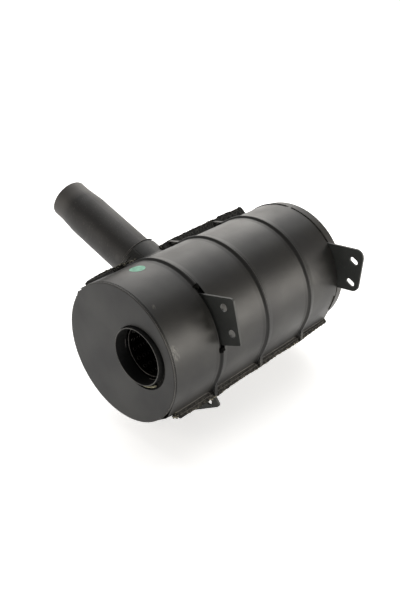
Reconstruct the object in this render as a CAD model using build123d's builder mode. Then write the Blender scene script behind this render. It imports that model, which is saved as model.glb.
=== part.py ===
from build123d import *
from math import cos, degrees, radians, sin, tan
import os

os.makedirs("parts", exist_ok=True)

# Frame: the origin is the centre of the axial tube's mouth, +X runs back along
# the drum and +Z is up. Angles are taken round the drum axis from +Y towards +Z,
# and places along the drum are taken from the cover's front face.

# Where the drum axis lies, and how far the tube's mouth stands before the cover
AXIS_Y = 45.0
AXIS_Z = -16.0
FACE_X = 6.0

# Drum, and the rear cap hooked over its end
DRUM_R = 117.0
DRUM_WALL = 1.5
DRUM_START = 12.0
DRUM_END = 454.0
PLATE_T = 2.0
PLATE_SKIRT = 15.0
PLATE_BEND = 5.0
SLIP = 0.1
RIM_R = DRUM_R + 6.0
RIM_START = DRUM_END - 14.0
RIM_END = DRUM_END + 3.0
CAP_T = 2.0
CAP_FLOOR = DRUM_END - 8.0
CAP_DISH = 4.0
CAP_DISH_R = DRUM_R - 33.0
CAP_BEND = 3.0

# Heat-shield jacket, held off the drum by the insulation
SHEET = 1.0
MAT_SLIP = 0.2
MAT_T = 6.6
JACKET_R = DRUM_R + MAT_SLIP + MAT_T + MAT_SLIP + SHEET
COVER_BEND = 3.0
COVER_RIM = 3.1
COVER_STEP = 4.2
COVER_SKIRT = 14.0
SKIRT_PLAY = 0.1
JACKET_START = COVER_STEP + SKIRT_PLAY
JACKET_END = RIM_START - 6.6
BEAD_FIRST = 109.5
BEAD_PITCH = 119.5
BEADS = (BEAD_FIRST, BEAD_FIRST + BEAD_PITCH, BEAD_FIRST + 2 * BEAD_PITCH)
BEAD_FOOT = 5.2
BEAD_CREST = 1.4
BEAD_HEIGHT = 3.6
BEAD_BEND = 2.0

# Side pipe with its reduced end
PIPE_X = 181.0
PIPE_DEG = 20.0
PIPE_R = 41.25
PIPE_WALL = 2.0
PIPE_INNER_END = DRUM_R - 42.0
PIPE_CONE_START = 302.0
PIPE_TIP_START = 338.0
PIPE_TIP_R = 38.1
PIPE_END = 359.0
PIPE_BEND = 120.0

# Seams: one plane through the drum axis, with the mat's lip squeezed in it
SEAM_DEG = 38.0
LIP_GAP = 2.0
STRAIGHT_DEG = 17.0
FLANGE_START = 23.0
FLANGE_R = JACKET_R + 17.5
FLANGE_SHORT_R = FLANGE_R - 5.5
FLANGE_REAR_R = FLANGE_R + 5.0
FLANGE_LOWER_REAR_R = FLANGE_R - 4.0
FLANGE_UPPER_END = PIPE_X - 99.0
FLANGE_UPPER_START = PIPE_X + 27.0
FLANGE_STAGGER = 8.0
FLANGE_CORNER = 5.0
RIDGE_HALF = 3.5
RIDGE_RUN = 20.0
CORNER_RELIEF = 11.0
CORNER_HALF = 5.0
TAB_DEG = 90.6
TAB_ARC = 2.8
TAB_END = JACKET_END + 7.6

# Axial tube, the perforated tube behind it and the inner plates
TUBE_R = 50.8
TUBE_WALL = 2.0
TUBE_END = DRUM_START + 6.0
PERF_R = TUBE_R - 6.35
PERF_WALL = 1.5
PERF_START = TUBE_END + 1.0
PERF_HOLE_R = 3.0
PERF_FIRST_ROW = 8.0
PERF_ROW_PITCH = 12.0
PERF_ROWS = 4
PERF_COUNT = 16
BAFFLES = (95.0, 290.0)
PERF_END = BAFFLES[1] + PLATE_T
BAFFLE_SKIRT = 12.0
CROSS_R = 14.0
CROSS_COUNT = 5
CROSS_PCD_R = DRUM_R - 39.0

# The cover's hole stands a little off the tube
COVER_HOLE_R = TUBE_R + 5.5
COVER_HOLE_AT = (-AXIS_Y - 2.5, -AXIS_Z - 3.0)

# Collar the jacket raises round the side pipe
COLLAR_R = PIPE_R + 5.25
COLLAR_BEND = 8.0
COLLAR_RIDGE_BEND = 12.0
COLLAR_ZONE = COLLAR_R + 9.5
COLLAR_TOP = JACKET_R + 34.0
COLLAR_FAR_TOP = COLLAR_TOP - 3.0
COLLAR_GAP = 1.0
COLLAR_MAT_TOP = COLLAR_TOP - 5.0

# Insulation
MAT_IN = DRUM_R + MAT_SLIP
MAT_OUT = MAT_IN + MAT_T
MAT_START = COVER_SKIRT + 0.5
MAT_END = JACKET_END - 2.4
LIP_T = 1.7
LIP_BACK = 0.7
LIP_SHORT_END = PIPE_X - 41.0
PAD_START = 6.0
PAD_END = DRUM_START - MAT_SLIP
PAD_R = JACKET_R - 3.0
MAT_PLAY = 0.4
MAT_BACK = 8.0
MAT_BACK_DEG = 5.0

# Brackets: flat plates square to the axis, welded to the drum
BRACKET_T = 4.0
HOLE_PITCH = 45.0
HOLE_R = 7.0
WELD_GAP = 0.05

FRONT_X = 111.0
FRONT_DEG = 166.5
FRONT_OUT = JACKET_R + 41.2
FRONT_TOP = 75.0
FRONT_LOW_OUT = -5.4
FRONT_LOW_IN = -12.3
FRONT_TOP_CORNER = 6.0
FRONT_LOW_CORNER = 3.0
FRONT_HOLE_AT = (FRONT_OUT - 19.0, 35.4)
FRONT_HOLE_LEAN = 11.3
WINDOW_X = (FRONT_X - 6.0, FRONT_X + 6.0)
WINDOW_DEG = 120.5
WINDOW_ARC = 54.5

LOWER_X = 119.0
LOWER_DEG = 238.0
LOWER_OUT = JACKET_R + 32.5
LOWER_SIDE_OUT = 36.0
LOWER_SIDE_IN = 30.0
LOWER_BACK = -51.0
LOWER_CORNER = 6.0
LOWER_HOLE_AT = (LOWER_OUT - 13.0, -9.5)
LOWER_WINDOW_X = (LOWER_X - 2.5, LOWER_X + 6.5)
LOWER_WINDOW_DEG = 221.5
LOWER_WINDOW_ARC = 44.0

REAR_X = JACKET_END + 1.2
REAR_DEG = 184.0
REAR_OUT = JACKET_R + 43.8
REAR_TOP_OUT = 100.8
REAR_LOW_OUT = 14.4
REAR_SLOPE = 0.185
REAR_CORNER = 15.0
SLOT_W = 11.0
SLOT_L = 18.0
SLOT_LEAN = 24.0
SLOT_AT = (REAR_OUT - 18.0, 50.5)

# Round sticker on the jacket
DOT_X = 67.0
DOT_DEG = 78.6
DOT_R = 13.5
DOT_T = 0.15

AXIS = Axis((FACE_X, AXIS_Y, AXIS_Z), (1, 0, 0))
SKIRT_R = DRUM_R - DRUM_WALL - SLIP
FOLD_R = JACKET_R / cos(radians(STRAIGHT_DEG))


def across(x, deg=0.0):
    """Plane square to the drum axis: x runs outward at deg, y a quarter turn on."""
    plane = Plane(origin=(FACE_X + x, AXIS_Y, AXIS_Z), x_dir=(0, 1, 0), z_dir=(1, 0, 0))
    return plane.rotated((deg, 0, 0))


def facing(x, deg):
    """The same plane seen from the front: x runs outward at deg, y a quarter turn back."""
    flat = across(x, deg)
    return Plane(origin=flat.origin, x_dir=flat.x_dir, z_dir=(-1, 0, 0))


def along(deg, shift=0.0):
    """Plane holding the drum axis: x runs back, y runs outward at deg."""
    plane = Plane(origin=(FACE_X, AXIS_Y, AXIS_Z), x_dir=(1, 0, 0), z_dir=(0, 0, 1))
    return plane.rotated((deg, 0, 0)).offset(shift)


PIPE_OUT = across(PIPE_X, PIPE_DEG).x_dir
PIPE_CROSS = Plane(origin=across(PIPE_X).origin, x_dir=(-1, 0, 0), z_dir=PIPE_OUT)
PIPE_LONG = Plane(origin=across(PIPE_X).origin, x_dir=PIPE_OUT, z_dir=(1, 0, 0))


def spoke(radius, deg):
    """Point of a plane square to the drum axis."""
    return radius * cos(radians(deg)), radius * sin(radians(deg))


def bead_line():
    """Outline of the jacket's outside from front to back."""
    points = [(JACKET_START, JACKET_R)]
    for centre in BEADS:
        for dx, dr in ((-BEAD_FOOT, 0), (-BEAD_CREST, BEAD_HEIGHT), (BEAD_CREST, BEAD_HEIGHT), (BEAD_FOOT, 0)):
            points.append((centre + dx, JACKET_R + dr))
    points.append((JACKET_END, JACKET_R))
    return points


def collar_form(inset):
    """Drum and pipe collar as one rounded solid, inset below the sheet's outside."""
    with BuildPart() as form:
        with BuildSketch(across(PIPE_X - 1.4 * COLLAR_ZONE)) as section:
            flat = JACKET_R - inset
            Circle(flat)
            with BuildLine():
                Polyline((0, 0), spoke(flat, SEAM_DEG - STRAIGHT_DEG),
                         spoke(FOLD_R - inset / cos(radians(STRAIGHT_DEG)), SEAM_DEG),
                         spoke(flat, SEAM_DEG + STRAIGHT_DEG), close=True)
            make_face()
            fillet(section.vertices().sort_by_distance((0, 0))[-1], radius=COLLAR_RIDGE_BEND)
        extrude(amount=2.8 * COLLAR_ZONE)
        with BuildSketch(PIPE_CROSS.offset(JACKET_R / 2)):
            Circle(COLLAR_R - inset)
        extrude(amount=COLLAR_TOP + inset - JACKET_R / 2)
        meeting = form.edges().filter_by(GeomType.CIRCLE, reverse=True)
        meeting = meeting.filter_by(GeomType.LINE, reverse=True)
        fillet(meeting, radius=COLLAR_BEND + inset)
    return form.part


def strip(root, start, end, start_r, end_r):
    """Flat strip from radius root out to an edge that may slant, its outer corners round."""
    with BuildSketch() as flat:
        with BuildLine():
            Polyline((start, root), (end, root), (end, end_r), (start, start_r), close=True)
        make_face()
        fillet(flat.vertices().sort_by(Axis.Y)[2:], radius=FLANGE_CORNER)
    return flat.sketch


def half_jacket(deg, upper_turn, upper_start, upper_beads):
    """Half the jacket from angle deg onward, its seam flanges and its share of the collar."""
    half_gap = LIP_GAP / 2
    run = JACKET_R * tan(radians(STRAIGHT_DEG)) - half_gap - SHEET / 2
    with BuildPart() as half:
        # Round over most of the half, then straight on to each seam
        for start, arc, ahead in ((deg + STRAIGHT_DEG, 180 - 2 * STRAIGHT_DEG, -run),
                                  (deg + 180 - STRAIGHT_DEG, 0, run)):
            with BuildSketch(along(start)) as sheet:
                with BuildLine():
                    FilletPolyline(*bead_line(), radius=BEAD_BEND)
                    offset(amount=SHEET, side=Side.RIGHT)
                make_face()
            if arc:
                revolve(sheet.sketch, axis=AXIS, revolution_arc=arc)
            extrude(amount=ahead)
        for seam in (SEAM_DEG, SEAM_DEG + 180):
            with BuildSketch(along(seam)):
                with Locations((CORNER_RELIEF / 2, FOLD_R)):
                    Rectangle(CORNER_RELIEF, 20)
            extrude(amount=CORNER_HALF, both=True, mode=Mode.SUBTRACT)
        # Collar: cut the shell back to a round zone and put the raised piece in
        with BuildSketch(PIPE_CROSS.offset(JACKET_R / 2)):
            Circle(COLLAR_ZONE)
        extrude(amount=JACKET_R, mode=Mode.SUBTRACT)
        with BuildPart(mode=Mode.PRIVATE) as collar:
            add(collar_form(0))
            add(collar_form(SHEET), mode=Mode.SUBTRACT)
            with BuildSketch(PIPE_CROSS.offset(JACKET_R / 2)):
                split = (FOLD_R - SHEET / 2) * sin(radians(SEAM_DEG - PIPE_DEG))
                with Locations((0, upper_turn * (JACKET_R + COLLAR_GAP / 2) + split)):
                    Rectangle(3 * COLLAR_R, 2 * JACKET_R)
                Circle(COLLAR_ZONE, mode=Mode.INTERSECT)
            extrude(amount=JACKET_R, mode=Mode.INTERSECT)
        add(collar.part)
        # Flanges, with a bend at the root between the beads
        for seam, turn in ((SEAM_DEG, upper_turn), (SEAM_DEG + 180, -upper_turn)):
            inner, outer = turn * half_gap, turn * (half_gap + SHEET)
            middle, root = (inner + outer) / 2, FOLD_R - SHEET
            spans, beads = [(FLANGE_START, JACKET_END, FLANGE_R, FLANGE_LOWER_REAR_R)], BEADS
            if seam == SEAM_DEG:
                spans = [(FLANGE_START, FLANGE_UPPER_END, FLANGE_SHORT_R, FLANGE_SHORT_R),
                         (upper_start, JACKET_END, FLANGE_R, FLANGE_REAR_R)]
                beads = upper_beads
            for span in spans:
                with BuildSketch(along(seam, inner)) as lip:
                    add(strip(root, *span))
                extrude(amount=turn * SHEET)
            # Beads run out over the flange
            for centre in beads:
                crest = JACKET_R + BEAD_HEIGHT
                rise = (crest - 0.3) / cos(radians(STRAIGHT_DEG)) - RIDGE_RUN * tan(radians(STRAIGHT_DEG))
                with BuildSketch(across(centre - RIDGE_HALF, seam)):
                    with BuildLine():
                        Polyline((FLANGE_R - 0.5, middle), (FLANGE_R - 0.5, outer + turn * 0.3),
                                 (rise, turn * RIDGE_RUN), (rise - SHEET, turn * RIDGE_RUN), close=True)
                    make_face()
                extrude(amount=2 * RIDGE_HALF)
    return half.part


def wedge(x_range, inner_r, outer_r, deg, arc):
    """Piece of a ring round the drum axis, from angle deg onward."""
    with BuildPart() as ring:
        with BuildSketch(along(deg)):
            with Locations(((x_range[0] + x_range[1]) / 2, (inner_r + outer_r) / 2)):
                Rectangle(x_range[1] - x_range[0], outer_r - inner_r)
        revolve(axis=AXIS, revolution_arc=arc)
    return ring.part


with BuildPart() as jacket_bracket_side:
    add(half_jacket(SEAM_DEG, 1, FLANGE_UPPER_START, BEADS[1:]))
    add(wedge(WINDOW_X, DRUM_R, FLANGE_R, WINDOW_DEG, WINDOW_ARC), mode=Mode.SUBTRACT)
    add(wedge((JACKET_END - 1, TAB_END), JACKET_R - SHEET, JACKET_R, TAB_DEG, TAB_ARC))
jacket_bracket_side.part.label = "jacket_bracket_side"

with BuildPart() as jacket_pipe_side:
    add(half_jacket(SEAM_DEG + 180, -1, FLANGE_UPPER_START + FLANGE_STAGGER, BEADS[2:]))
    add(wedge(LOWER_WINDOW_X, DRUM_R, FLANGE_R, LOWER_WINDOW_DEG, LOWER_WINDOW_ARC), mode=Mode.SUBTRACT)
    with BuildSketch(PIPE_CROSS.offset(COLLAR_FAR_TOP)):
        Circle(COLLAR_ZONE)
    extrude(amount=COLLAR_TOP - COLLAR_FAR_TOP, mode=Mode.SUBTRACT)
jacket_pipe_side.part.label = "jacket_pipe_side"

with BuildPart() as front_cover:
    with BuildSketch(along(0)):
        with BuildLine():
            skirt_r = JACKET_R - SHEET - SKIRT_PLAY
            FilletPolyline((0, 0), (0, JACKET_R), (COVER_RIM, JACKET_R), radius=COVER_BEND)
            Polyline((COVER_RIM, JACKET_R), (COVER_STEP, skirt_r), (COVER_SKIRT, skirt_r))
            offset(amount=SHEET, side=Side.RIGHT)
        make_face()
    revolve(axis=AXIS)
    with BuildSketch(across(0)):
        with Locations(COVER_HOLE_AT):
            Circle(COVER_HOLE_R)
    extrude(amount=SHEET * 2, mode=Mode.SUBTRACT)
front_cover.part.label = "front_cover"

# Insulation: a pad behind the cover and two half mats with lips out in the seams
with BuildPart() as front_pad:
    with BuildSketch(across(PAD_START)):
        Circle(PAD_R)
        with Locations((-AXIS_Y, -AXIS_Z)):
            Circle(TUBE_R + MAT_PLAY, mode=Mode.SUBTRACT)
    extrude(amount=PAD_END - PAD_START)
front_pad.part.label = "front_pad"


def mat_window(x_range):
    """The mat is cut back all round a bracket's window."""
    return x_range[0] - MAT_BACK, x_range[1] + MAT_BACK


mat_edge_deg = degrees((LIP_T / 2 + MAT_PLAY) / MAT_IN)
with BuildPart() as mat_bracket_side:
    add(wedge((MAT_START, MAT_END), MAT_IN, MAT_OUT, SEAM_DEG, 180))
    for seam, spans in ((SEAM_DEG, ((FLANGE_START, LIP_SHORT_END, FLANGE_SHORT_R, FLANGE_SHORT_R),
                                    (FLANGE_UPPER_START, MAT_END, FLANGE_R, FLANGE_REAR_R))),
                        (SEAM_DEG + 180, ((FLANGE_START, MAT_END, FLANGE_R, FLANGE_LOWER_REAR_R),))):
        for start, end, start_r, end_r in spans:
            with BuildSketch(along(seam)):
                add(strip(MAT_IN, start, end, start_r - LIP_BACK, end_r - LIP_BACK))
            extrude(amount=LIP_T / 2, both=True)
    with BuildSketch(PIPE_CROSS.offset(JACKET_R / 2)):
        Circle(COLLAR_ZONE + MAT_PLAY)
    extrude(amount=JACKET_R, mode=Mode.SUBTRACT)
    add(wedge(mat_window(WINDOW_X), MAT_IN, MAT_OUT, WINDOW_DEG - MAT_BACK_DEG,
              WINDOW_ARC + 2 * MAT_BACK_DEG), mode=Mode.SUBTRACT)
mat_bracket_side.part.label = "mat_bracket_side"

with BuildPart() as mat_pipe_side:
    add(wedge((MAT_START, MAT_END), MAT_IN, MAT_OUT, SEAM_DEG + 180 + mat_edge_deg,
              180 - 2 * mat_edge_deg))
    with BuildSketch(PIPE_CROSS.offset(JACKET_R / 2)):
        Circle(COLLAR_R - SHEET - MAT_PLAY)
    extrude(amount=JACKET_R, mode=Mode.SUBTRACT)
    add(wedge(mat_window(LOWER_WINDOW_X), MAT_IN, MAT_OUT, LOWER_WINDOW_DEG - MAT_BACK_DEG / 2,
              LOWER_WINDOW_ARC + 2 * MAT_BACK_DEG), mode=Mode.SUBTRACT)
mat_pipe_side.part.label = "mat_pipe_side"

with BuildPart() as collar_sleeve:
    with BuildSketch(PIPE_CROSS.offset(MAT_OUT)):
        Circle(COLLAR_R - SHEET - MAT_PLAY)
        Circle(PIPE_R + MAT_PLAY, mode=Mode.SUBTRACT)
    extrude(amount=COLLAR_MAT_TOP - MAT_OUT)
collar_sleeve.part.label = "collar_sleeve"

# Drum
with BuildPart() as drum_shell:
    with BuildSketch(across(DRUM_START)):
        Circle(DRUM_R)
        Circle(DRUM_R - DRUM_WALL, mode=Mode.SUBTRACT)
    extrude(amount=DRUM_END - DRUM_START)
    with BuildSketch(PIPE_CROSS.offset(JACKET_R / 2)):
        Circle(PIPE_R + SLIP)
    extrude(amount=JACKET_R, mode=Mode.SUBTRACT)
drum_shell.part.label = "drum_shell"


def plate(x, skirt, hole_r):
    """Flanged plate inside the drum, its face at x and a hole on the tube's axis."""
    with BuildPart() as disc:
        with BuildSketch(along(0)):
            with BuildLine():
                FilletPolyline((x, 0), (x, SKIRT_R), (x + skirt, SKIRT_R), radius=PLATE_BEND)
                offset(amount=PLATE_T, side=Side.RIGHT)
            make_face()
        revolve(axis=AXIS)
        with BuildSketch(across(x)):
            with Locations((-AXIS_Y, -AXIS_Z)):
                Circle(hole_r)
        extrude(amount=PLATE_T, mode=Mode.SUBTRACT)
    return disc.part


with BuildPart() as drum_front_plate:
    add(plate(DRUM_START, PLATE_SKIRT, TUBE_R + SLIP))
drum_front_plate.part.label = "drum_front_plate"


def baffle(x):
    """Inner plate with cross-flow holes beside the perforated tube."""
    with BuildPart() as disc:
        add(plate(x, BAFFLE_SKIRT, PERF_R + SLIP))
        with BuildSketch(across(x)):
            with PolarLocations(CROSS_PCD_R, CROSS_COUNT, start_angle=-70, angular_range=140, rotate=False):
                Circle(CROSS_R)
        extrude(amount=PLATE_T, mode=Mode.SUBTRACT)
    return disc.part


with BuildPart() as front_baffle:
    add(baffle(BAFFLES[0]))
front_baffle.part.label = "front_baffle"

with BuildPart() as rear_baffle:
    add(baffle(BAFFLES[1]))
rear_baffle.part.label = "rear_baffle"

with BuildPart() as rear_cap:
    with BuildSketch(along(0)):
        with BuildLine():
            floor_r = SKIRT_R - CAP_T
            FilletPolyline((RIM_START, RIM_R), (RIM_END, RIM_R), (RIM_END, floor_r), (CAP_FLOOR, floor_r),
                           (CAP_FLOOR, CAP_DISH_R + 8), (CAP_FLOOR + CAP_DISH, CAP_DISH_R),
                           (CAP_FLOOR + CAP_DISH, 0), radius=CAP_BEND)
            offset(amount=CAP_T, side=Side.RIGHT)
        make_face()
    revolve(axis=AXIS)
rear_cap.part.label = "rear_cap"

with BuildPart() as axial_tube:
    with BuildSketch(Plane.YZ):
        Circle(TUBE_R)
        Circle(TUBE_R - TUBE_WALL, mode=Mode.SUBTRACT)
    extrude(amount=FACE_X + TUBE_END)
axial_tube.part.label = "axial_tube"

with BuildPart() as perforated_tube:
    with BuildSketch(Plane.YZ.offset(FACE_X + PERF_START)):
        Circle(PERF_R)
        Circle(PERF_R - PERF_WALL, mode=Mode.SUBTRACT)
    extrude(amount=PERF_END - PERF_START)
    for row in range(PERF_ROWS):
        x = FACE_X + PERF_START + PERF_FIRST_ROW + row * PERF_ROW_PITCH
        with Locations(Location((x, 0, 0), (0, 90, 0))):
            with PolarLocations(PERF_R, PERF_COUNT):
                Cylinder(PERF_HOLE_R, 4 * PERF_WALL, rotation=(0, 90, 0), mode=Mode.SUBTRACT)
perforated_tube.part.label = "perforated_tube"

with BuildPart() as side_pipe:
    with BuildSketch(PIPE_LONG):
        with BuildLine():
            FilletPolyline((PIPE_INNER_END, PIPE_R), (PIPE_CONE_START, PIPE_R), (PIPE_TIP_START, PIPE_TIP_R),
                           (PIPE_END, PIPE_TIP_R), radius=PIPE_BEND)
            offset(amount=PIPE_WALL, side=Side.RIGHT)
        make_face()
    revolve(axis=Axis(PIPE_LONG.origin, PIPE_OUT))
side_pipe.part.label = "side_pipe"

# Brackets
with BuildPart() as bracket_front:
    with BuildSketch(facing(FRONT_X, FRONT_DEG)) as outline:
        with BuildLine():
            Polyline((0, FRONT_TOP), (FRONT_OUT, FRONT_TOP), (FRONT_OUT, FRONT_LOW_OUT),
                     (DRUM_R, FRONT_LOW_IN), (0, FRONT_LOW_IN), close=True)
        make_face()
        corners = outline.vertices().group_by(Axis.X)[-1].sort_by(Axis.Y)
        fillet(corners[-1], radius=FRONT_TOP_CORNER)
        fillet(outline.vertices().group_by(Axis.X)[-1].sort_by(Axis.Y)[0], radius=FRONT_LOW_CORNER)
        Circle(DRUM_R + WELD_GAP, mode=Mode.SUBTRACT)
        with Locations(Location(FRONT_HOLE_AT, FRONT_HOLE_LEAN)):
            with GridLocations(0, HOLE_PITCH, 1, 2):
                Circle(HOLE_R, mode=Mode.SUBTRACT)
    extrude(amount=-BRACKET_T)
bracket_front.part.label = "bracket_front"

with BuildPart() as bracket_lower:
    with BuildSketch(facing(LOWER_X, LOWER_DEG)) as outline:
        with BuildLine():
            Polyline((0, LOWER_SIDE_IN), (DRUM_R, LOWER_SIDE_IN), (LOWER_OUT, LOWER_SIDE_OUT),
                     (LOWER_OUT, LOWER_BACK), (0, LOWER_BACK), close=True)
        make_face()
        fillet(outline.vertices().group_by(Axis.X)[-1], radius=LOWER_CORNER)
        Circle(DRUM_R + WELD_GAP, mode=Mode.SUBTRACT)
        with Locations(LOWER_HOLE_AT):
            with GridLocations(0, HOLE_PITCH, 1, 2):
                Circle(HOLE_R, mode=Mode.SUBTRACT)
    extrude(amount=-BRACKET_T)
bracket_lower.part.label = "bracket_lower"

with BuildPart() as bracket_rear:
    with BuildSketch(facing(REAR_X, REAR_DEG)) as outline:
        with BuildLine():
            drop = REAR_SLOPE * REAR_OUT
            Polyline((0, REAR_TOP_OUT - drop), (REAR_OUT, REAR_TOP_OUT), (REAR_OUT, REAR_LOW_OUT),
                     (0, REAR_LOW_OUT - drop), close=True)
        make_face()
        fillet(outline.vertices().group_by(Axis.X)[-1], radius=REAR_CORNER)
        Circle(DRUM_R + WELD_GAP, mode=Mode.SUBTRACT)
        with Locations(SLOT_AT):
            with GridLocations(0, HOLE_PITCH, 1, 2):
                SlotOverall(SLOT_L, SLOT_W, rotation=-SLOT_LEAN, mode=Mode.SUBTRACT)
    extrude(amount=-BRACKET_T)
bracket_rear.part.label = "bracket_rear"

# Sticker
with BuildPart() as sticker:
    with BuildSketch(across(DOT_X - DOT_R - 1)):
        Circle(JACKET_R + DOT_T)
        Circle(JACKET_R, mode=Mode.SUBTRACT)
    extrude(amount=2 * DOT_R + 2)
    spot = across(DOT_X, DOT_DEG)
    with BuildSketch(Plane(origin=spot.origin, x_dir=(1, 0, 0), z_dir=spot.x_dir).offset(JACKET_R / 2)):
        Circle(DOT_R)
    extrude(amount=JACKET_R, mode=Mode.INTERSECT)
sticker.part.label = "sticker"

for piece in (jacket_bracket_side, jacket_pipe_side, front_cover, front_pad, mat_bracket_side,
              mat_pipe_side, collar_sleeve, drum_shell, drum_front_plate, front_baffle, rear_baffle,
              rear_cap, axial_tube, perforated_tube, side_pipe, bracket_front, bracket_lower,
              bracket_rear, sticker):
    export_step(piece.part, "parts/" + piece.part.label + ".step")
    print(piece.part.label, len(piece.solids()), round(piece.part.volume))
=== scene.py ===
import math
import bpy
import numpy as np
from mathutils import Matrix, Vector


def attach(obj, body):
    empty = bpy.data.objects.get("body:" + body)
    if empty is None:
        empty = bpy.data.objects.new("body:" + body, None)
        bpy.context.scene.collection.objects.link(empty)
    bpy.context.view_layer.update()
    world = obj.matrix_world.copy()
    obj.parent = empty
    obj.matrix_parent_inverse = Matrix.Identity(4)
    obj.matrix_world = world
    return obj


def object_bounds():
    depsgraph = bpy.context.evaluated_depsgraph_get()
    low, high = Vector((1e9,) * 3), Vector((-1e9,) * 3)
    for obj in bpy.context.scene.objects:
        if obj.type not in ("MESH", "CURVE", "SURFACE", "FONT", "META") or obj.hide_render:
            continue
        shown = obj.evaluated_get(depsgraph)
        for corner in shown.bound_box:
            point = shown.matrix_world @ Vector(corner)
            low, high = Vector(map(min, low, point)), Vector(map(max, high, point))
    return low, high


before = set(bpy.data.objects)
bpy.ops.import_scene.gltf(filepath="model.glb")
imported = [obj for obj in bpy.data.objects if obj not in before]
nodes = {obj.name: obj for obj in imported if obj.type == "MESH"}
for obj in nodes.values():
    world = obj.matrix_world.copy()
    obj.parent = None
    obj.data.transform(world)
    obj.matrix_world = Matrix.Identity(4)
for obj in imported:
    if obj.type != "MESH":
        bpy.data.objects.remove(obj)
cadBounds = [[float(v) for v in corner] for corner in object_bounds()]
mm = 0.001
print("frame loaded:", len(nodes), "nodes")

# The drum in the frame: its axis runs along X through this point of the cover's face
drum = {"faceX": 6 * mm, "axisY": 45 * mm, "axisZ": -16 * mm}


def hexLinear(text):  # sRGB hex to linear RGBA
    values = [int(text[i:i + 2], 16) / 255 for i in (1, 3, 5)]
    return [v / 12.92 if v <= 0.04045 else ((v + 0.055) / 1.055) ** 2.4 for v in values] + [1.0]


# Adds a shader node: settings are its properties, values and links go to its inputs by name or
# number, each link from another node's output, and stops are a colour ramp's (position, colour)
def addNode(tree, kind, settings=None, values=None, links=None, stops=()):
    node = tree.nodes.new("ShaderNode" + kind)
    for name, value in (settings or {}).items():
        setattr(node, name, value)
    for name, value in (values or {}).items():
        node.inputs[name].default_value = value
    for name, source in (links or {}).items():
        tree.links.new(source, node.inputs[name])
    if stops:
        elements = node.color_ramp.elements
        while len(elements) < len(stops):
            elements.new(1)
        for element, (position, colour) in zip(elements, stops):
            element.position = position
            element.color = colour
    return node


materials = {}


# A material with one shader that has these socket values, and noise patterns on Object
# coordinates, each given by the size of its largest blotches in mm, its detail and its stretch
def newMaterial(name, sockets, patterns):
    materials[name] = bpy.data.materials.new(name)
    materials[name].use_nodes = True
    tree = materials[name].node_tree
    tree.nodes.clear()
    shader = addNode(tree, "BsdfPrincipled", None, sockets)
    addNode(tree, "OutputMaterial", None, None, {"Surface": shader.outputs["BSDF"]})
    marks = {"place": addNode(tree, "TexCoord").outputs["Object"]}
    for label, (size, detail, stretch) in patterns.items():
        mapping = addNode(tree, "Mapping", None, {"Scale": stretch}, {"Vector": marks["place"]})
        pattern = addNode(tree, "TexNoise", None, {"Scale": 1000 / size, "Detail": detail},
                          {"Vector": mapping.outputs["Vector"]})
        marks[label] = pattern.outputs["Fac"]
    return tree, shader, marks


# Ends a material. Coats are laid on its colour, each where its mask is 1, and the relief is a
# chain of bumps, each a pattern and its height in mm
def dress(tree, shader, colour, coats, relief):
    for mask, over in coats:
        coated = addNode(tree, "Mix", {"data_type": "RGBA"}, None, {0: mask, 6: colour, 7: over})
        colour = coated.outputs[2]
    tree.links.new(colour, shader.inputs["Base Color"])
    before = {}
    for pattern, height in relief:
        bump = addNode(tree, "Bump", None, {"Strength": 1.0, "Distance": height * mm},
                       {"Height": pattern, **before})
        before = {"Normal": bump.outputs["Normal"]}
    tree.links.new(before["Normal"], shader.inputs["Normal"])


# Mask round a point: the first share as far as inner mm from it, the second from outer mm on
def roundPoint(tree, place, point, shares, inner, outer):
    away = addNode(tree, "VectorMath", {"operation": "DISTANCE"}, {1: point}, {0: place})
    mask = addNode(tree, "MapRange", None,
                   {"From Min": inner * mm, "From Max": outer * mm, "To Min": shares[0], "To Max": shares[1]},
                   {"Value": away.outputs["Value"]})
    return mask.outputs["Result"]


# Satin heat-resistant paint, sprayed on rolled sheet: nearly black with a broad soft sheen.
# Slow waves in the sheet bend the highlights, orange peel dulls them, rubbed places go paler,
# and dry overspray and handling marks make cloudy, warmer patches. The paint of the thin edge bars
# is paler and glossier: painted highlight along the edges. The tube's paint is the darkest: painted
# shade inside the axial tube. Rough is the roughness of the glossier and the duller clouds, wave and
# peel are heights in mm, and a pale spot is a centre in metres with two reaches in mm: full as far
# as the first, gone from the second on. The pipe's first pale spot is painted light on its tip, the
# second is a paler spot near the collar
paints = {
    "jacketPaintSatin": {"dark": "#1c1b1a", "light": "#262522", "worn": "#5a5852", "rough": (0.38, 0.48),
                         "peel": 0.065, "wave": 0.10, "seamed": True},
    "drumPaintSatin": {"dark": "#121211", "light": "#1a1918", "worn": "#43403c", "rough": (0.38, 0.50),
                       "peel": 0.02, "wave": 0.05},
    "capPaintSatin": {"dark": "#282725", "light": "#33312e", "worn": "#4a4845", "rough": (0.42, 0.52),
                      "peel": 0.02, "wave": 0.03},
    # The darkest paint, on the axial tube: painted shade inside it
    "tubePaintDarkShade": {"dark": "#0c0c0c", "light": "#141413", "worn": "#2b2a28", "rough": (0.60, 0.70),
                        "peel": 0.02, "wave": 0.02},
    "pipePaintSatin": {"dark": "#232120", "light": "#2e2c2a", "worn": "#4c4946", "rough": (0.47, 0.56),
                       "peel": 0.020, "wave": 0.03,
                       # The pale spots: painted light on the pipe's tip, and a paler spot near the collar
                       "tipLightAndPaleSpot": [((0.187, 0.3824, 0.1068), 44, 56), ((0.152, 0.205, 0.052), 2, 9)]},
    "bracketPaintMatt": {"dark": "#282927", "light": "#343533", "worn": "#3d3e3a", "rough": (0.50, 0.62),
                         "peel": 0.025, "wave": 0.05},
    # Paler, glossier paint of the thin edge bars: painted highlight along the edges
    "edgePaintWorn": {"dark": "#3c3a37", "light": "#57544f", "worn": "#75726b", "rough": (0.34, 0.44),
                      "peel": 0.02, "wave": 0.05},
}
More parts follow.
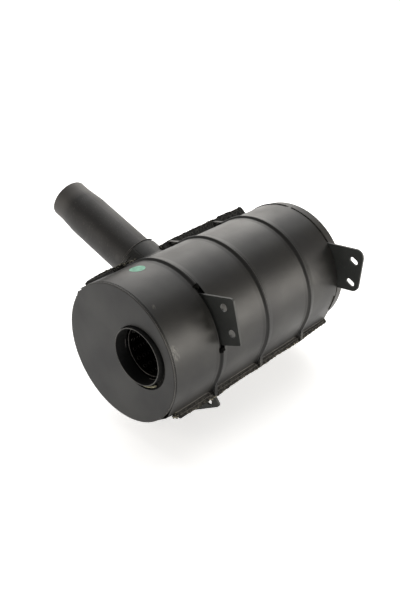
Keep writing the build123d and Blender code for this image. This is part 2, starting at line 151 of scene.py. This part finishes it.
paintIor = 1.39  # Below the usual 1.5 of a paint, matched to how little this one shines
paintPatterns = {"clouds": (70, 3.0, (1, 1, 1)), "peel": (2.0, 2.0, (1, 1, 1)),
                 "waves": (110, 1.0, (1, 1, 1)), "scratches": (2.5, 2.0, (1, 1, 0.3))}
# How much of the pale colour shows in scattered marks of wear, in the pale spots (on the pipe's tip
# painted light) and in scuffs, over which values of the scratches it comes up, and how far a scuff
# is full before it fades
wearAndTipLight = {"marks": 0.35, "markRange": (0.60, 0.68), "tipLightAndSpotShare": 0.75, "scuff": 0.8, "scuffRange": (0.42, 0.60),
        "scuffCore": 0.3}
# The sheet swells softly towards each stiffening bead, by a height in mm, and a dull dark stripe
# lies along it: painted shade of the bead. Both are stops of mm behind the bead's centre line and
# share, within reach of it
beads = {"first": 109.5, "pitch": 119.5, "reach": 20, "height": 0.75,
         "swell": ((-14.5, 0), (-5.0, 1), (5.0, 1), (14.5, 0)),
         "beadShade": ((-4.2, 0), (-1.6, 0.55), (2.2, 0.55), (4.0, 0))}
# The flanges are dull, with fibre flecks in them, and much less so round the collar. On the lowest
# stretch of the first bead the paint is nearly black and dull: painted shade, and the same black is
# the painted shade along every bead. Each range runs in mm: the flanges' in radii from the drum
# axis, the collar's from its middle, where little of the flanges' dullness is left, the crease's from
# the first bead's centre line and in height. Gloss is the specular level of clean and of dull and
# shaded paint
shaded = {"colour": "#131312", "gloss": (0.5, 0.2),
          "flecks": {"colours": ("#1d1c1b", "#4b4944"), "range": (0.42, 0.62), "size": 4.0, "detail": 3.0},
          "flange": {"share": 0.85, "range": (132.0, 134.5)},
          "collar": {"share": 0.12, "middle": (0.187, 0.186, 0.035), "range": (52, 66)},
          "crease": {"share": 0.7, "range": (3.6, 5.0), "height": (-4.0, 0.0)}}
# Rubbed and scratched places on the jacket: centre in metres and reach in mm
scuffs = [((0.0150, -0.0679, 0.0375), 8), ((0.0165, -0.0701, 0.0328), 9), ((0.0180, -0.0735, 0.0240), 8),
          ((0.0225, -0.0212, 0.0900), 4), ((0.0235, -0.0182, 0.0922), 3)]


# Stripes along the beads: their swell and their painted shade, ramps over the distance from the
# nearest bead's centre line, which is the distance from the first one wrapped at half the beads' pitch
def beadStripes(tree, along):
    half = beads["pitch"] / 2 * mm
    signed = addNode(tree, "Math", {"operation": "WRAP"}, {1: half, 2: -half}, {0: along})
    reach = beads["reach"]
    behind = addNode(tree, "MapRange", None, {"From Min": -reach * mm, "From Max": reach * mm},
                     {"Value": signed.outputs["Value"]})
    stripes = []
    for label in ("swell", "beadShade"):
        stops = [((x + reach) / (2 * reach), (share, share, share, 1)) for x, share in beads[label]]
        stripes.append(addNode(tree, "ValToRGB", None, None, {"Fac": behind.outputs["Result"]}, stops))
    stripes[0].color_ramp.interpolation = "EASE"
    return stripes[0].outputs["Color"], stripes[1].outputs["Color"]


# Masks of the dull flanges, by radius from the drum axis and weak on the collar, and of the painted
# shade on the lowest stretch of the first bead
def shadeMasks(tree, place, along, upward):
    flange, collar, crease = shaded["flange"], shaded["collar"], shaded["crease"]
    across = addNode(tree, "VectorMath", {"operation": "MULTIPLY"}, {1: (0, 1, 1)}, {0: place})
    radius = addNode(tree, "VectorMath", {"operation": "DISTANCE"}, {1: (0, drum["axisY"], drum["axisZ"])},
                     {0: across.outputs["Vector"]})
    first = addNode(tree, "Math", {"operation": "ABSOLUTE"}, None, {0: along})
    ranges = ((radius.outputs["Value"], flange["range"], 0, flange["share"]),
              (first.outputs["Value"], crease["range"], crease["share"], 0),
              (upward, crease["height"], 1, 0))
    masks = []
    for source, (near, far), low, high in ranges:
        masks.append(addNode(tree, "MapRange", None,
                             {"From Min": near * mm, "From Max": far * mm, "To Min": low, "To Max": high},
                             {"Value": source}).outputs["Result"])
    away = roundPoint(tree, place, collar["middle"], (collar["share"], 1), *collar["range"])
    pairs = ((masks[0], away), (masks[1], masks[2]))
    return [addNode(tree, "Math", {"operation": "MULTIPLY"}, None, {0: one, 1: other}).outputs["Value"]
            for one, other in pairs]


# Coats of the seamed jacket from the bottom up: painted shade along the beads, scuffs, then fibre
# flecks on the flanges and painted shade on the first bead's lowest stretch. Shaded and flecked
# paint also loses its gloss
def seamCoats(tree, shader, marks, worn):
    axes = addNode(tree, "SeparateXYZ", None, None, {0: marks["place"]})
    along = addNode(tree, "Math", {"operation": "SUBTRACT"}, {1: drum["faceX"] + beads["first"] * mm},
                    {0: axes.outputs["X"]}).outputs["Value"]
    swell, beadShade = beadStripes(tree, along)
    # Nearly black: painted shade along the beads and on the first bead's lowest stretch
    black = addNode(tree, "RGB").outputs["Color"]
    black.default_value = hexLinear(shaded["colour"])
    coats = [(beadShade, black)]
    low, high = wearAndTipLight["scuffRange"]
    for point, reach in scuffs:
        near = roundPoint(tree, marks["place"], point, (wearAndTipLight["scuff"], 0), reach * wearAndTipLight["scuffCore"], reach)
        lines = addNode(tree, "MapRange", None, {"From Min": low, "From Max": high},
                        {"Value": marks["scratches"]})
        mask = addNode(tree, "Math", {"operation": "MULTIPLY"}, None, {0: near, 1: lines.outputs["Result"]})
        coats.append((mask.outputs["Value"], worn))
    flange, crease = shadeMasks(tree, marks["place"], along, axes.outputs["Z"])
    flecks = shaded["flecks"]
    lint = addNode(tree, "TexNoise", None, {"Scale": 1000 / flecks["size"], "Detail": flecks["detail"]},
                   {"Vector": marks["place"]})
    stops = [(edge, hexLinear(colour)) for edge, colour in zip(flecks["range"], flecks["colours"])]
    specks = addNode(tree, "ValToRGB", None, None, {"Fac": lint.outputs["Fac"]}, stops)
    coats += [(flange, specks.outputs["Color"]), (crease, black)]
    shade = addNode(tree, "Math", {"operation": "MAXIMUM"}, None, {0: flange, 1: crease})
    matt = addNode(tree, "Math", {"operation": "MAXIMUM"}, None, {0: shade.outputs["Value"], 1: beadShade})
    clean, dull = shaded["gloss"]
    gloss = addNode(tree, "MapRange", None, {"To Min": clean, "To Max": dull},
                    {"Value": matt.outputs["Value"]})
    tree.links.new(gloss.outputs["Result"], shader.inputs["Specular IOR Level"])
    return coats, swell


# Every paint: a cloudy base colour under its coats, a sheen that follows the clouds, and relief
def paintMaterial(name, look):
    tree, shader, marks = newMaterial(name, {"IOR": paintIor}, paintPatterns)
    base = addNode(tree, "ValToRGB", None, None, {"Fac": marks["clouds"]},
                   [(0.35, hexLinear(look["dark"])), (0.65, hexLinear(look["light"]))])
    worn = addNode(tree, "RGB").outputs["Color"]
    worn.default_value = hexLinear(look["worn"])
    relief = [(marks["waves"], look["wave"]), (marks["peel"], look["peel"])]
    if look.get("seamed"):
        coats, swell = seamCoats(tree, shader, marks, worn)
        relief.insert(0, (swell, beads["height"]))
    else:
        low, high = wearAndTipLight["markRange"]
        rubbed = addNode(tree, "MapRange", None, {"From Min": low, "From Max": high, "To Max": wearAndTipLight["marks"]},
                         {"Value": marks["scratches"]})
        coats = [(rubbed.outputs["Result"], worn)]
    # Pale spots: on the pipe's tip the paler colour is painted light
    for point, inner, outer in look.get("tipLightAndPaleSpot", ()):
        coats.append((roundPoint(tree, marks["place"], point, (wearAndTipLight["tipLightAndSpotShare"], 0), inner, outer), worn))
    smooth, rough = look["rough"]
    sheen = addNode(tree, "MapRange", None,
                    {"From Min": 0.3, "From Max": 0.7, "To Min": rough, "To Max": smooth},
                    {"Value": marks["clouds"]})
    tree.links.new(sheen.outputs["Result"], shader.inputs["Roughness"])
    dress(tree, shader, base.outputs["Color"], coats, relief)


# Needled mineral fibre: matted tufts with loose hairs, black where spray has reached it,
# with bare pale flecks where tufts have pulled out. The bare tones show where the flecks' noise is
# above its from. The hairs are drawn 1 mm wide, far coarser than real ones, so that they show,
# and the low IOR keeps a gloss off the fibre, which scatters nearly all light
felts = {
    "fibreFelt": {"bare": ("#6d6a59", "#9a967f"), "from": 0.20, "soot": ("#131312", "#3a3936")},
    "fibreFlecked": {"bare": ("#6a675a", "#a8a290"), "from": 0.57, "soot": ("#131312", "#3a3936")},
    "fibreBlack": {"bare": ("#1c1b19", "#33312c"), "from": 0.70, "soot": ("#131312", "#3a3936")},
    # Near black: painted shade of the gaps at the front corners and the window's ends where it sits
    "fibreSoot": {"bare": ("#121211", "#1c1b19"), "from": 0.70, "soot": ("#050505", "#11110f")},
}
feltPatterns = {"tufts": (5, 5.0, (1, 1, 1)), "flecks": (3.2, 3.0, (1, 1, 1)),
                "hairs": (1.0, 3.0, (0.3, 1, 1))}


def feltMaterial(name, look):
    tree, shader, marks = newMaterial(name, {"Roughness": 0.95, "IOR": 1.12}, feltPatterns)
    tones = {}
    for label in ("soot", "bare"):
        stops = [(edge, hexLinear(colour)) for edge, colour in zip((0.3, 0.7), look[label])]
        tones[label] = addNode(tree, "ValToRGB", None, None, {"Fac": marks["tufts"]}, stops).outputs["Color"]
    mask = addNode(tree, "MapRange", None, {"From Min": look["from"] - 0.03, "From Max": look["from"] + 0.03},
                   {"Value": marks["flecks"]})
    dress(tree, shader, tones["soot"], [(mask.outputs["Result"], tones["bare"])],
          [(marks["tufts"], 1.2), (marks["hairs"], 0.4)])


# Finishes of two tones, by one noise pattern that also gives the relief, in mm
plainLooks = {
    # Plain sheet steel inside the drum, sooted: dark grey, brushed along the axis
    "innerSteel": {"sockets": {"Metallic": 1.0, "Roughness": 0.42}, "pattern": (6, 3.0, (0.15, 1, 1)),
                   "tones": ((0.3, "#191817"), (0.7, "#2c2a28")), "relief": 0.02},
    # The same sheet in a paler grey: painted glints on the perforated tube's mouth, its seat and the
    # punch burrs
    "rimSteel": {"sockets": {"Metallic": 1.0, "Roughness": 0.42}, "pattern": (6, 3.0, (0.15, 1, 1)),
                 "tones": ((0.3, "#4a4846"), (0.7, "#6f6c69")), "relief": 0.02},
    # Printed film: flat green with a dull sheen, rubbed a little paler
    "stickerFilm": {"sockets": {"IOR": 1.46, "Roughness": 0.5}, "pattern": (9, 2.0, (1, 1, 1)),
                    "tones": ((0.35, "#4b9678"), (0.65, "#68b295")), "relief": 0.02},
    # Weld metal under the same paint: dark, with scale in the ripples
    "weldPainted": {"sockets": {"Roughness": 0.6}, "pattern": (2, 3.0, (1, 1, 1)),
                    "tones": ((0.35, "#151514"), (0.7, "#2b2a28")), "relief": 0.1},
}


def plainMaterial(name, look):
    tree, shader, marks = newMaterial(name, look["sockets"], {"pattern": look["pattern"]})
    stops = [(edge, hexLinear(tone)) for edge, tone in look["tones"]]
    colour = addNode(tree, "ValToRGB", None, None, {"Fac": marks["pattern"]}, stops)
    dress(tree, shader, colour.outputs["Color"], [], [(marks["pattern"], look["relief"])])


for name, look in paints.items():
    paintMaterial(name, look)
for name, look in felts.items():
    feltMaterial(name, look)
for name, look in plainLooks.items():
    plainMaterial(name, look)

finishes = {
    "jacketPaintSatin": ["jacket_bracket_side", "jacket_pipe_side", "front_cover"],
    "drumPaintSatin": ["drum_shell"],
    "tubePaintDarkShade": ["axial_tube"],
    "capPaintSatin": ["rear_cap"],
    "pipePaintSatin": ["side_pipe"],
    "bracketPaintMatt": ["bracket_front", "bracket_lower", "bracket_rear"],
    "innerSteel": ["drum_front_plate", "front_baffle", "rear_baffle", "perforated_tube"],
    "fibreBlack": ["front_pad", "mat_bracket_side", "mat_pipe_side", "collar_sleeve"],
    "stickerFilm": ["sticker"],
}
for name, members in finishes.items():
    for member in members:
        for slot in nodes[member].material_slots:
            slot.material = materials[name]
print("materials assigned")


# Points in metres from the place along the drum, the radius from its axis and the angle round it,
# in mm and degrees
def drumPoint(x, radius, angle):
    turn = np.radians(angle)
    x, radius, turn = np.broadcast_arrays(x, radius, turn)
    return np.stack([drum["faceX"] + x * mm, drum["axisY"] + radius * mm * np.cos(turn),
                     drum["axisZ"] + radius * mm * np.sin(turn)], axis=-1)


# Smooth random curve of t, one swing per unit, between about -1 and 1: a sum of sines with random
# starts, three in each octave, whose sizes fall by 1.6 from one octave to the next
def waver(t, seed, octaves=4):
    draw = np.random.default_rng(seed)
    total = np.zeros(np.shape(t))
    for k in range(octaves):
        a, b, c = draw.uniform(0, 2 * np.pi, 3)
        total += (np.sin(2 * np.pi * t * 2 ** k * 0.83 + a) + np.sin(2 * np.pi * t * 2 ** k * 1.27 + b)
                  + np.sin(2 * np.pi * t * 2 ** k * 0.51 + c)) / (3 * 1.6 ** k)
    return total


# Mesh of one grid of points, or of several equal grids: a square face between each four
# neighbours, and round to the first row or column again where closed
def surface(name, grids, material, closed=(False, True)):
    if grids.ndim == 3:
        grids = grids[None]
    count, rows, columns = grids.shape[:3]
    faceRows = np.arange(rows - (not closed[0]))
    faceColumns = np.arange(columns - (not closed[1]))
    row, column = np.meshgrid(faceRows, faceColumns, indexing="ij")
    nextRow, nextColumn = (row + 1) % rows, (column + 1) % columns
    corners = [row * columns + column, nextRow * columns + column,
               nextRow * columns + nextColumn, row * columns + nextColumn]
    quads = np.stack(corners, axis=-1).reshape(-1, 4)
    quads = (quads[None] + (np.arange(count) * rows * columns)[:, None, None]).reshape(-1, 4)
    mesh = bpy.data.meshes.new(name)
    mesh.vertices.add(count * rows * columns)
    mesh.vertices.foreach_set("co", grids.reshape(-1).astype(np.float32))
    mesh.loops.add(quads.size)
    mesh.loops.foreach_set("vertex_index", quads.reshape(-1).astype(np.int32))
    mesh.polygons.add(len(quads))
    mesh.polygons.foreach_set("loop_start", np.arange(0, quads.size, 4, dtype=np.int32))
    mesh.polygons.foreach_set("use_smooth", np.ones(len(quads), dtype=bool))
    mesh.update(calc_edges=True)
    mesh.validate()
    mesh.materials.append(materials[material])
    piece = bpy.data.objects.new(name, mesh)
    bpy.context.scene.collection.objects.link(piece)
    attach(piece, "root")


# Ragged fibre that swells out of the seams: the section is a flat oval whose outer tip wavers along
# the seam, thin in the gap between the flanges and thicker outside them. The tip follows a run of
# stations (place along the drum, radius) plus a slow curve and short tufts, the upper part of a
# fast curve, by the two reaches in mm. Thick is half the oval's height
fringes = {
    "fringeUpperFront": {"angle": 38, "reach": (0.4, 1.0), "thick": 1.6, "seed": 3,
                         "edge": ((21, 134.5), (34, 138.0), (52, 139.5), (74, 141.0), (92, 140.0),
                                  (118, 139.0), (142, 138.0))},
    "fringeUpperRear": {"angle": 38, "reach": (0.3, 0.9), "thick": 1.5, "seed": 8,
                        "edge": ((200, 142.0), (235, 145.0), (300, 146.4), (348, 147.2), (357, 145.4),
                                 (366, 148.4), (392, 148.6), (412, 147.2), (431, 148.0))},
    "fringeLower": {"angle": 218, "reach": (0.3, 0.9), "thick": 2.1, "seed": 5,
                    "edge": ((22, 138.5), (38, 142.2), (60, 143.0), (122, 144.0), (136, 143.0), (152, 142.3),
                             (177, 141.4), (231, 142.4), (276, 141.0), (319, 141.8), (366, 141.2),
                             (400, 139.0), (428, 139.0))},
}
# Shared by the fringes, in mm: how deep the root lies, how far the ends taper, and how long one
# swing is of the slow curve, the tufts, the lumps in the section and the ruffle along the seam
fringe = {"root": 6.5, "taper": 4, "slow": 60, "tuft": 11, "lump": 5, "ruffle": 4, "ruffled": 0.5}
for name, look in fringes.items():
    stations = np.array(look["edge"])
    low, high = stations[0, 0], stations[-1, 0]
    along = np.linspace(low, high, int((high - low) * 3))[:, None]
    turn = np.linspace(0, 2 * np.pi, 14, endpoint=False)[None, :]
    seed = look["seed"]
    ends = np.clip(np.minimum(along - low, high - along) / fringe["taper"], 0, 1) ** 0.5
    edge = np.interp(along, stations[:, 0], stations[:, 1])
    slow = waver(along / fringe["slow"], seed, 4)
    tufts = np.clip(waver(along / fringe["tuft"], seed + 2, 5) - 0.1, 0, 1) ** 0.7
    tip = edge + (look["reach"][0] * slow + look["reach"][1] * tufts) * ends
    root = edge - fringe["root"]
    out = 0.5 + 0.5 * np.cos(turn)
    radius = root + (tip - root) * out
    lumps = 1 + 0.5 * waver(along / fringe["lump"] + turn * 0.3, seed + 1, 4)
    thick = look["thick"] * (0.5 + 0.5 * out ** 2) * lumps
    lift = thick * ends * np.sin(turn)
    ruffle = fringe["ruffled"] * waver(along / fringe["ruffle"] + turn, seed + 4, 2)
    points = drumPoint(along + ruffle, radius, look["angle"] + np.degrees(lift / radius))
    surface(name, points, "fibreFlecked")
print("seam fibre built")

# Loose wads where the mat shows at the jacket's corners, beside the collar, in the seams and in the
# ends of the front bracket's window: a ball stretched to its size along the drum, outwards and
# round it, its radius wavering with both angles. Those at the front corners and in the window's ends
# are near black: painted shade of those gaps
wads = {
    "wadUpperCorner": {"at": (4, 125.0, 31), "size": (3.0, 1.8, 3.0), "felt": "fibreSoot", "seed": 11},
    "wadLowerCorner": {"at": (6, 126.6, 219), "size": (4.5, 2.4, 4.5), "felt": "fibreSoot", "seed": 12},
    "wadLowerLip": {"at": (19, 133.5, 218), "size": (6.0, 5.0, 2.6), "felt": "fibreFlecked", "seed": 13},
    "wadWindowTop": {"at": (109.8, 125.0, 121.6), "size": (6.0, 3.0, 5.0), "felt": "fibreSoot", "seed": 14},
    "wadWindowFoot": {"at": (109.8, 125.8, 175.0), "size": (6.0, 3.2, 4.4), "felt": "fibreSoot", "seed": 15},
    "wadCollarFoot": {"at": (130, 132.0, 38), "size": (10.0, 7.0, 3.6), "felt": "fibreFlecked", "seed": 16},
    "wadCollarFront": {"at": (108, 137.5, 38), "size": (9.0, 3.6, 3.0), "felt": "fibreFlecked", "seed": 26},
    "wadCollarRear": {"at": (206, 133.0, 38), "size": (7.0, 5.0, 2.2), "felt": "fibreBlack", "seed": 20},
    "wadUpperEnd": {"at": (429, 145.4, 38), "size": (5.0, 3.2, 2.2), "felt": "fibreBlack", "seed": 17},
    "wadUpperNear": {"at": (392, 146.4, 38), "size": (6.0, 2.4, 2.0), "felt": "fibreBlack", "seed": 21},
    "wadUpperMiddle": {"at": (369, 146.2, 38), "size": (4.0, 2.4, 2.0), "felt": "fibreBlack", "seed": 18},
    "wadLowerEnd": {"at": (429, 131.0, 218), "size": (3.5, 6.0, 2.6), "felt": "fibreBlack", "seed": 19},
    "wadEndSlot": {"at": (433, 125.0, 210.5), "size": (2.0, 2.0, 3.0), "felt": "fibreBlack", "seed": 22},
}
for name, look in wads.items():
    down = np.linspace(0, np.pi, 26)[:, None]
    turn = np.linspace(0, 2 * np.pi, 36, endpoint=False)[None, :]
    swell = 1 + np.sin(down) * (0.28 * waver(down * 0.8 + np.cos(turn) * 0.5, look["seed"], 4)
                                + 0.28 * waver(down * 0.6 + np.sin(turn) * 0.6, look["seed"] + 30, 4))
    x, radius, angle = look["at"]
    length, depth, width = look["size"]
    outward = depth * swell * np.sin(down) * np.cos(turn)
    sideways = width * swell * np.sin(down) * np.sin(turn)
    points = drumPoint(x + length * swell * np.cos(down) + 0 * turn, radius + outward,
                       angle + np.degrees(sideways / radius))
    surface(name, points, look["felt"])
print("wads built")


# Round bar along a path of points in metres: a circle carried square to the path, whose radius in
# mm grows by a ripple every pitch mm and tapers to the ends of an open path
def bar(name, path, radius, material, ripple=0.0, pitch=3.0, closed=False, sides=8):
    step = np.gradient(path, axis=0)
    if closed:
        step = np.roll(path, -1, axis=0) - np.roll(path, 1, axis=0)
    ahead = step / np.linalg.norm(step, axis=1, keepdims=True)
    side = np.cross(ahead, np.array([0.31, 0.57, 0.76]))
    side /= np.linalg.norm(side, axis=1, keepdims=True)
    over = np.cross(ahead, side)
    run = np.cumsum(np.linalg.norm(np.diff(path, axis=0, prepend=path[:1]), axis=1)) / mm
    thick = radius + ripple * np.abs(np.sin(np.pi * run / pitch))
    if not closed:
        thick = thick * np.clip(np.minimum(run, run[-1] - run) / radius, 0.02, 1) ** 0.5
    turn = np.linspace(0, 2 * np.pi, sides, endpoint=False)
    points = path[:, None, :] + thick[:, None, None] * mm * (
        np.cos(turn)[None, :, None] * side[:, None, :] + np.sin(turn)[None, :, None] * over[:, None, :])
    surface(name, points, material, closed=(closed, True))


# The bend between the jacket and its flanges: a round edge along the fold from bead to bead, then
# a quarter circle and a straight end outwards round the flange's corner
folds = {
    "seams": {"foldLower": (218, -1, ((23, 101), (118, 221), (237.5, 340.5), (357, 431))),
              "foldUpper": (38, 1, ((23, 82), (237.5, 340.5), (357, 431)))},
    "radius": 130.3, "offset": 1.7, "round": 4.0, "turned": 5.0, "thick": 0.85,
}
for seam, (angle, side, spans) in folds["seams"].items():
    for index, (low, high) in enumerate(spans):
        straight = np.linspace(low, high - folds["round"], 40)
        bend = np.linspace(0, np.pi / 2, 10)[1:]
        out = np.linspace(0, folds["turned"], 6)[1:]
        x = np.concatenate([straight, high - folds["round"] + folds["round"] * np.sin(bend), high + 0 * out])
        lift = np.concatenate([0 * straight, folds["round"] * (1 - np.cos(bend)), folds["round"] + out])
        radius = folds["radius"] + lift
        path = drumPoint(x, radius, angle + side * np.degrees(folds["offset"] / radius))
        bar(seam + str(index), path, folds["thick"], "edgePaintWorn")

# Sheet edges that catch the light along the seams, straight but for a slight waver in the radius
lips = {"lipLower": {"angle": 218, "side": -1, "span": (26, 426), "edge": (137.6, 134.2), "offset": 2.6},
        "lipUpperFront": {"angle": 38, "side": 1, "span": (24, 80), "edge": (135.6, 135.6), "offset": 1.9}}
lipBar = {"thick": 0.42, "waver": 0.25, "swing": 40, "seed": 41}
for name, look in lips.items():
    x = np.linspace(*look["span"], 500)
    sway = lipBar["waver"] * waver(x / lipBar["swing"], lipBar["seed"], 3)
    radius = np.interp(x, look["span"], look["edge"]) + sway
    path = drumPoint(x, radius, look["angle"] + look["side"] * np.degrees(look["offset"] / radius))
    bar(name, path, lipBar["thick"], "edgePaintWorn")

# Arcs round the drum's axis: the cover's rim, and black fibre laid between jacket and cap as painted
# shade of the gap there
rings = {
    "coverEdge": {"x": 0.9, "radius": 124.35, "arc": (0, 360), "thick": 0.55, "finish": "edgePaintWorn"},
    "capGapShadeTop": {"x": 434.8, "radius": 125.2, "arc": (46, 89), "thick": 1.25, "finish": "fibreBlack"},
    "capGapShadeSide": {"x": 434.8, "radius": 125.0, "arc": (93.5, 138), "thick": 1.2, "finish": "fibreBlack"},
    "capSlotShade": {"x": 430.6, "radius": 124.4, "arc": (189, 206), "thick": 2.2, "finish": "fibreBlack"},
}
for name, look in rings.items():
    whole = look["arc"] == (0, 360)
    angle = np.linspace(*look["arc"], 360, endpoint=not whole)
    path = drumPoint(look["x"] + 0 * angle, look["radius"], angle)
    bar(name, path, look["thick"], look["finish"], closed=whole)

# Arcs round the axial tube's axis, which is the X axis: both tubes' mouths, glints of the
# perforated tube's seat, and felt at the foot of the cover's hole
tubeRings = {
    "innerMouth": {"x": 24.9, "radius": 45.3, "arc": (0, 360), "thick": 0.75, "finish": "rimSteel"},
    "seatGlintLow": {"x": 20.5, "radius": 48.3, "arc": (236, 262), "thick": 0.45, "finish": "rimSteel"},
    "seatGlintHigh": {"x": 20.5, "radius": 48.3, "arc": (-14, 6), "thick": 0.45, "finish": "rimSteel"},
    "outerMouth": {"x": 0.45, "radius": 49.9, "arc": (0, 360), "thick": 0.75, "finish": "edgePaintWorn"},
    "padLip": {"x": 7.8, "radius": 55.2, "arc": (229, 266), "thick": 1.9, "finish": "fibreFelt"},
}
for name, look in tubeRings.items():
    whole = look["arc"] == (0, 360)
    turn = np.radians(np.linspace(*look["arc"], 240, endpoint=not whole))
    path = np.stack([look["x"] + 0 * turn, look["radius"] * np.cos(turn), look["radius"] * np.sin(turn)],
                    axis=-1)
    bar(name, path * mm, look["thick"], look["finish"], closed=whole)

# Arcs in the planes across the side pipe's axis: the collar's mouth, its far fold and the weld
pipe = {"across": 181.0, "tilt": 20.0, "rings": {
    "collarMouth": {"along": 159.0, "radius": 47.1, "arc": (204, 306), "thick": 0.75},
    "collarSeatWeld": {"along": 158.5, "radius": 42.6, "arc": (190, 236), "thick": 0.8},
    "collarFoldFar": {"along": 150.0, "radius": 47.3, "arc": (192, 222), "thick": 0.6}}}
tilt = math.radians(pipe["tilt"])
for name, look in pipe["rings"].items():
    turn = np.radians(np.linspace(*look["arc"], 200))
    out = look["along"] * mm
    side = look["radius"] * mm * np.sin(turn)
    path = np.stack([drum["faceX"] + pipe["across"] * mm + look["radius"] * mm * np.cos(turn),
                     drum["axisY"] + out * math.cos(tilt) + side * math.sin(tilt),
                     drum["axisZ"] + out * math.sin(tilt) - side * math.cos(tilt)], axis=-1)
    bar(name, path, look["thick"], "edgePaintWorn")
print("edges built")

# Fillet welds at the brackets' feet: a rippled bar round the drum on the plate's face
welds = {
    "weldFront": {"x": 109.6, "arc": (129, 172), "thick": 1.5},
    "weldLower": {"x": 117.6, "arc": (225, 262), "thick": 1.0},
    "weldRear": {"x": 440.0, "arc": (139, 179), "thick": 1.2},
}
weldBar = {"radius": 117.6, "ripple": 0.35, "pitch": 2.6}
for name, look in welds.items():
    angle = np.linspace(*look["arc"], 260)
    path = drumPoint(look["x"] + 0 * angle, weldBar["radius"], angle)
    bar(name, path, look["thick"], "weldPainted", ripple=weldBar["ripple"], pitch=weldBar["pitch"])
print("welds built")

# Burrs round the perforated tube's first holes, pushed in by the punch: each a small ring, worked
# out as a torus in mm along the tube and along its wall, and bent round the tube
burrs = {"rows": (27, 39, 51, 63), "count": 16, "wall": 42.9, "hole": 3.2, "thick": 0.35}
turn = np.linspace(0, 2 * np.pi, 20, endpoint=False)[:, None]
section = np.linspace(0, 2 * np.pi, 8, endpoint=False)[None, :]
angles = np.arange(burrs["count"]) * 2 * np.pi / burrs["count"]
row, angle = np.meshgrid(burrs["rows"], angles, indexing="ij")
row, angle = row.reshape(-1, 1, 1), angle.reshape(-1, 1, 1)
reach = burrs["hole"] + burrs["thick"] * np.cos(section)
x = row + reach * np.cos(turn)
swing = angle + reach * np.sin(turn) / burrs["wall"]
radius = burrs["wall"] + burrs["thick"] * np.sin(section) + 0 * turn
points = np.stack([drum["faceX"] + x * mm, radius * mm * np.cos(swing), radius * mm * np.sin(swing)], axis=-1)
surface("punchBurrs", points, "rimSteel", closed=(True, True))
print("burrs built")

# Camera at the photograph's angle
view = {"place": (-0.741035, -0.829489, 0.728692), "ahead": (0.637217, 0.594131, -0.49088),
        "lens": 49.901, "sensor": 36.0, "clip": (0.05, 120)}
cameraData = bpy.data.cameras.new("photoCamera")
cameraData.sensor_fit = "VERTICAL"
cameraData.sensor_height = view["sensor"]
cameraData.lens = view["lens"]
cameraData.clip_start, cameraData.clip_end = view["clip"]
camera = bpy.data.objects.new("photoCamera", cameraData)
bpy.context.scene.collection.objects.link(camera)
ahead = Vector(view["ahead"]).normalized()
right = ahead.cross(Vector((0, 0, 1))).normalized()
up = right.cross(ahead)
camera.matrix_world = Matrix.Translation(view["place"]) @ Matrix((right, up, -ahead)).transposed().to_4x4()
bpy.context.scene.camera = camera

# Soft studio: dim pale walls and a faintly glowing floor, a wide soft sun with two lamps from
# behind for the drum's top, two low lamps on the right for the long highlight below the dark
# band, and one on the left for the cover
studio = {
    "wall": "#ffffff", "wallStrength": 0.20, "wallSeen": 1.0,
    "sun": {"towards": (-0.45, -0.45, -0.78), "strength": 1.9, "spread": 70},
    "lamps": {
        "softBack": {"place": (1.6, 1.25, 1.25), "aim": (0.2, 0.0, 0.0), "size": 1.4, "watts": 8.5},
        "lowRight": {"place": (1.5, -1.6, 0.25), "aim": (0.2, 0.0, 0.0), "size": 1.3, "watts": 28.0},
        "lowSide": {"place": (0.4, -2.2, 0.25), "aim": (0.2, 0.0, 0.0), "size": 1.8, "watts": 23.0},
        "softLeft": {"place": (-1.5, 1.2, 0.5), "aim": (0.0, 0.0, 0.0), "size": 1.3, "watts": 9.6},
        "rimBack": {"place": (1.7, 1.5, 0.35), "aim": (0.2, 0.0, 0.0), "size": 1.6, "watts": 9.0},
    },
    "lampColour": "#fffaf2", "floor": "#ffffff", "floorHalf": 45.0, "floorGlow": 0.50,
}
world = bpy.data.worlds.new("paleStudio")
bpy.context.scene.world = world
world.use_nodes = True
background = world.node_tree.nodes["Background"]
background.inputs["Color"].default_value = hexLinear(studio["wall"])
# The wall lights the part weakly, and is seen as bright as the floor
rays = addNode(world.node_tree, "LightPath")
seen = addNode(world.node_tree, "MapRange", None,
               {"To Min": studio["wallStrength"], "To Max": studio["wallSeen"]},
               {"Value": rays.outputs["Is Camera Ray"]})
world.node_tree.links.new(seen.outputs["Result"], background.inputs["Strength"])


# Lamps shine along their own -Z, so that is turned towards what they light
def addLamp(data, place, towards):
    lamp = bpy.data.objects.new(data.name, data)
    bpy.context.scene.collection.objects.link(lamp)
    turn = Vector(towards).to_track_quat("-Z", "Y").to_matrix().to_4x4()
    lamp.matrix_world = Matrix.Translation(place) @ turn


for name, light in studio["lamps"].items():
    data = bpy.data.lights.new(name, "AREA")
    data.shape = "DISK"
    data.size = light["size"]
    data.energy = light["watts"]
    data.color = hexLinear(studio["lampColour"])[:3]
    addLamp(data, light["place"], Vector(light["aim"]) - Vector(light["place"]))
sun = bpy.data.lights.new("softSun", "SUN")
sun.energy = studio["sun"]["strength"]
sun.angle = math.radians(studio["sun"]["spread"])
addLamp(sun, (1, 1, 2), studio["sun"]["towards"])
bpy.context.scene.view_settings.view_transform = "Standard"

# The floor touches the lowest point of the part
floorZ = cadBounds[0][2]
half = studio["floorHalf"]
mesh = bpy.data.meshes.new("studioFloor")
mesh.from_pydata([(-half, -half, floorZ), (half, -half, floorZ), (half, half, floorZ), (-half, half, floorZ)],
                 [], [(0, 1, 2, 3)])
floor = bpy.data.objects.new("studioFloor", mesh)
bpy.context.scene.collection.objects.link(floor)
newMaterial("paleFloor", {"Base Color": hexLinear(studio["floor"]), "Roughness": 0.9,
                          "Emission Color": hexLinear(studio["floor"]),
                          "Emission Strength": studio["floorGlow"]}, {})
mesh.materials.append(materials["paleFloor"])
print("studio ready")
